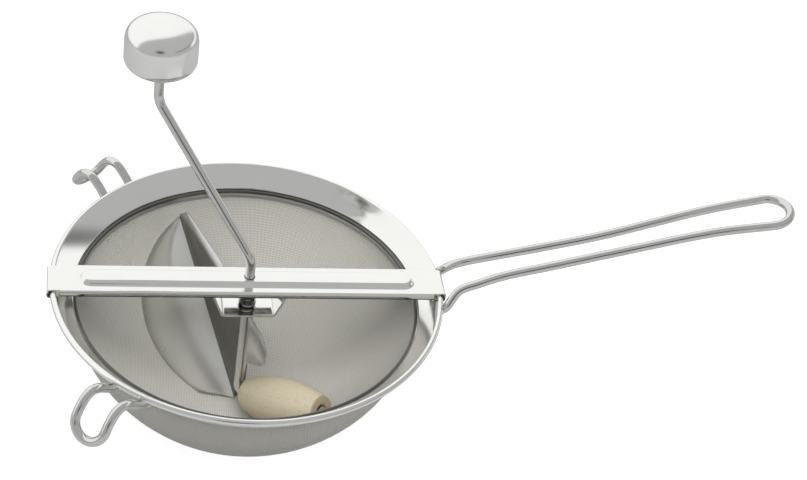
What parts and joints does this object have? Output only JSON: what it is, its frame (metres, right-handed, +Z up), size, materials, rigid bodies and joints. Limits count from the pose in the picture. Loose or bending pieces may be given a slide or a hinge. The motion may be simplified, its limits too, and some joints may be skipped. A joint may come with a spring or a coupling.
{
  "type": "food mill",
  "caption": "Hand cranked food mill: a wire mesh bowl under a flanged rim, a sprung crank with a folded pressing blade and a barrel roller, a loop handle and two hooks.",
  "frame": {"origin": "centre of the bowl's flat base", "axes": "+X along the strap towards the loop handle, +Z up along the crank shaft, away from the base"},
  "size_m": [0.4183, 0.2278, 0.2326],
  "materials": {
    "polished_sheet": "mirror polished stainless sheet",
    "polished_wire": "polished stainless wire",
    "knob_sheet": "polished drawn sheet",
    "wire_mesh": "woven wire cloth, matt",
    "plain_steel": "plain steel",
    "spring_wire": "dark spring steel",
    "beech": "turned, untreated beech",
    "bushing_plastic": "moulded"
  },
  "bodies": {
    "sieve": {"rim_band": "polished_sheet", "mesh_bowl": "wire_mesh", "mesh_clamp_ring": "polished_sheet", "handle_loop": "polished_wire", "hook_front": "polished_wire", "hook_back": "polished_wire", "cross_bar": "polished_sheet", "bearing_bracket": "polished_sheet", "spring_top_washer": "plain_steel", "compression_spring": "spring_wire"},
    "spring_seat": {"spring_seat_washer": "plain_steel"},
    "crank": {"crank_rod": "polished_wire", "retaining_clip": "spring_wire", "pressing_blade": "polished_sheet", "roller_inner_washer": "plain_steel", "roller_outer_washer": "plain_steel", "roller_push_nut": "spring_wire", "knob_washer": "plain_steel", "knob_push_nut": "spring_wire"},
    "roller": {"wood_roller": "beech"},
    "knob": {"knob_shell": "knob_sheet", "knob_base_plate": "knob_sheet", "knob_bushing": "bushing_plastic"}
  },
  "joints": [
    {"name": "crank_lift", "type": "slide", "parent": "sieve", "child": "spring_seat", "axis": [0, 0, 1], "range_m": [0, 0.004], "stiffness_N_per_m": 700, "springref_m": -0.006, "deforming": ["compression_spring"]},
    {"name": "crank_turn", "type": "hinge", "parent": "spring_seat", "child": "crank", "pos_m": [0, 0, 0], "axis": [0, 0, 1], "continuous": true},
    {"name": "roller_turn", "type": "hinge", "parent": "crank", "child": "roller", "pos_m": [0, 0, 0.00929], "axis": [0.6781, -0.6323, 0.3746], "continuous": true},
    {"name": "knob_turn", "type": "hinge", "parent": "crank", "child": "knob", "pos_m": [-0.05302, 0.04945, 0.2061], "axis": [0, 0, 1], "continuous": true}
  ],
  "couplings": [
    {"joint": "roller_turn", "follows": "crank_turn", "ratio": -4.1497}
  ]
}
